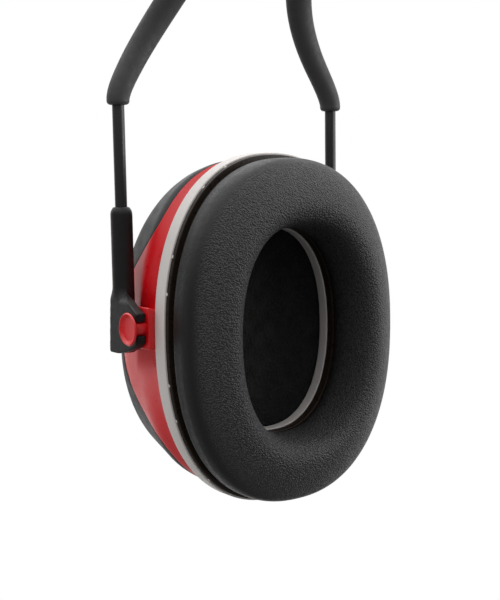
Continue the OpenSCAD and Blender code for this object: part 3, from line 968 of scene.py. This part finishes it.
def build_cup(side_name):
    side = SIDES[side_name]
    body = side_name + "_cup"

    def add(kind, geometry, material, slot):
        points, faces = geometry
        name = f"{side_name}_{kind}"
        piece = new_object(name + "_look", place(points, side), faces, material, body, slot)
        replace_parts(piece, name)

    add("outer_cover", outer_cover(), COVER, "cover_plastic")
    add("cup_shell", cup_shell(), RED, "shell_plastic")
    add("carrier_ring", carrier_ring(), RING, "ring_plastic")
    add("cushion_plate", cushion_plate(), PLATE, "plate_plastic")
    add("liner_foam", liner_foam(), FOAM, "foam")
    for end_name, end in ENDS.items():
        add(f"{end_name}_pin", pin(end), RED, "shell_plastic")
    pad = cushion(side, f"{side_name}_cushion_look", body)
    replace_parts(pad, f"{side_name}_cushion")
    for end_name, end in ENDS.items():
        slider = f"{side_name}_{end_name}_slider"
        piece = yoke(f"{side_name}_{end_name}_yoke_look", side, end, slider)
        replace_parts(piece, f"{side_name}_{end_name}_yoke")
    for kind in ("cushion_foam", "damping_foam"):
        paint(f"{side_name}_{kind}", FOAM)


def paint(node, material):
    """Gives a CAD node that stays its procedural material."""
    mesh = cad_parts[node].data
    mesh.materials.clear()
    mesh.materials.append(material)


def build_band():
    def add(name, geometry, material, slot):
        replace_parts(new_object(name + "_look", *geometry, material, "headband", slot), name)

    for end_name, end in ENDS.items():
        add(f"{end_name}_sleeve", sleeve(end), SLEEVE, "band_overmould")
        add(f"{end_name}_insulation", insulation(end), INSULATION, "wire_insulation")
        paint(f"{end_name}_wire", STEEL)
    paint("wire_end_stops", STEEL)


# ---------------------------------------------------------------- camera, light and stage

VIEW_AZIMUTH = 53.23                        # degrees from looking along +Y, towards +X
VIEW_ELEVATION = 7.68
VIEW_DISTANCE = 0.350
VIEW_ROLL = 0.7
LENS = 68.46
SENSOR = 36
SHIFT_X = -0.0382
SHIFT_Y = 0.0479
CUP_CENTRE = (-PLANE * MM, 0, 0)            # what the camera and the lights look at


def add_camera():
    azimuth, elevation = math.radians(VIEW_AZIMUTH), math.radians(VIEW_ELEVATION)
    out = Vector((math.sin(azimuth) * math.cos(elevation), -math.cos(azimuth) * math.cos(elevation),
                  math.sin(elevation)))
    camera_data = bpy.data.cameras.new("camera")
    camera_data.lens = LENS
    camera_data.sensor_width = SENSOR
    camera_data.shift_x = SHIFT_X
    camera_data.shift_y = SHIFT_Y
    camera_data.clip_start = 0.01
    camera_data.clip_end = 50
    camera = bpy.data.objects.new("camera", camera_data)
    bpy.context.scene.collection.objects.link(camera)
    turn = out.to_track_quat("Z", "Y").to_matrix().to_4x4()
    camera.matrix_world = (Matrix.Translation(Vector(CUP_CENTRE) + out * VIEW_DISTANCE) @ turn
                           @ Matrix.Rotation(math.radians(-VIEW_ROLL), 4, "Z"))
    bpy.context.scene.camera = camera


DIM_SIDE = (0.76, -0.53, -0.38)             # from the object towards the photographer, and down
DIM_FADE = (-0.6, -0.22)
TENT_BACK = 1.0
TENT_FRONT = 0.225
TOP_FADE = (0.15, 0.95)
TENT_TOP = 1.4
WHITE = (1, 1, 1, 1)


def add_light(name, place_at, size, power):
    """A square area light that points at the cup."""
    data = bpy.data.lights.new(name, "AREA")
    data.size = size
    data.energy = power
    light = bpy.data.objects.new(name, data)
    bpy.context.scene.collection.objects.link(light)
    light.location = place_at
    aim = Vector(CUP_CENTRE) - Vector(place_at)
    light.rotation_euler = aim.to_track_quat("-Z", "Y").to_euler()
    return light


def studio_white():
    material = bpy.data.materials.new("studio_white")
    material.use_nodes = True
    tree = material.node_tree
    tree.nodes.clear()
    glow = tree.nodes.new("ShaderNodeEmission")
    glow.inputs["Color"].default_value = WHITE
    glow.inputs["Strength"].default_value = 1.0
    out = tree.nodes.new("ShaderNodeOutputMaterial")
    tree.links.new(glow.outputs["Emission"], out.inputs["Surface"])
    return material


def add_stage():
    """A plain white floor and surround, seen by the camera only."""
    material = studio_white()
    floor_z = -0.6
    for name in ("floor", "surround"):
        mesh = bpy.data.meshes.new(name)
        bm = bmesh.new()
        if name == "floor":
            bmesh.ops.create_grid(bm, x_segments=1, y_segments=1, size=6)
            bmesh.ops.translate(bm, verts=bm.verts, vec=(0, 0, floor_z))
        else:
            bmesh.ops.create_uvsphere(bm, u_segments=48, v_segments=24, radius=8)
        bm.to_mesh(mesh)
        bm.free()
        mesh.materials.append(material)
        o = bpy.data.objects.new(name, mesh)
        bpy.context.scene.collection.objects.link(o)
        o.visible_diffuse = False
        o.visible_glossy = False
        o.visible_transmission = False
        o.visible_shadow = False


def add_light_setup():
    """A white tent: bright behind and above the object, dim on the side it is seen from."""
    world = bpy.data.worlds.new("studio")
    bpy.context.scene.world = world
    world.use_nodes = True
    tree = world.node_tree
    direction = tree.nodes.new("ShaderNodeTexCoord").outputs["Generated"]

    def along(axis, low, high, to_low, to_high):
        dot = tree.nodes.new("ShaderNodeVectorMath")
        dot.operation = "DOT_PRODUCT"
        tree.links.new(direction, dot.inputs[0])
        dot.inputs[1].default_value = axis
        return map_range(tree, dot.outputs["Value"], low, high, to_low, to_high)

    total = tree.nodes.new("ShaderNodeMath")
    total.operation = "ADD"
    tree.links.new(along(DIM_SIDE, *DIM_FADE, TENT_BACK, TENT_FRONT), total.inputs[0])
    tree.links.new(along((0, 0, 1), *TOP_FADE, 0, TENT_TOP), total.inputs[1])
    background = tree.nodes["Background"]
    background.inputs["Color"].default_value = WHITE
    tree.links.new(total.outputs["Value"], background.inputs["Strength"])
    add_light("top_box", place_at=(-0.25, 0.1, 0.9), size=0.5, power=1.2)
    fill = add_light("left_fill", place_at=(-0.25, -1.0, -0.35), size=0.9, power=2.4)
    add_light("right_box", place_at=(0.45, 0.85, 0.1), size=0.7, power=5.0)
    fill.visible_glossy = False             # it brightens the side without a mirror image of itself
    bpy.context.scene.view_settings.view_transform = "Standard"


add_camera()
add_light_setup()
add_stage()
build_band()
for cup_side in SIDES:
    build_cup(cup_side)
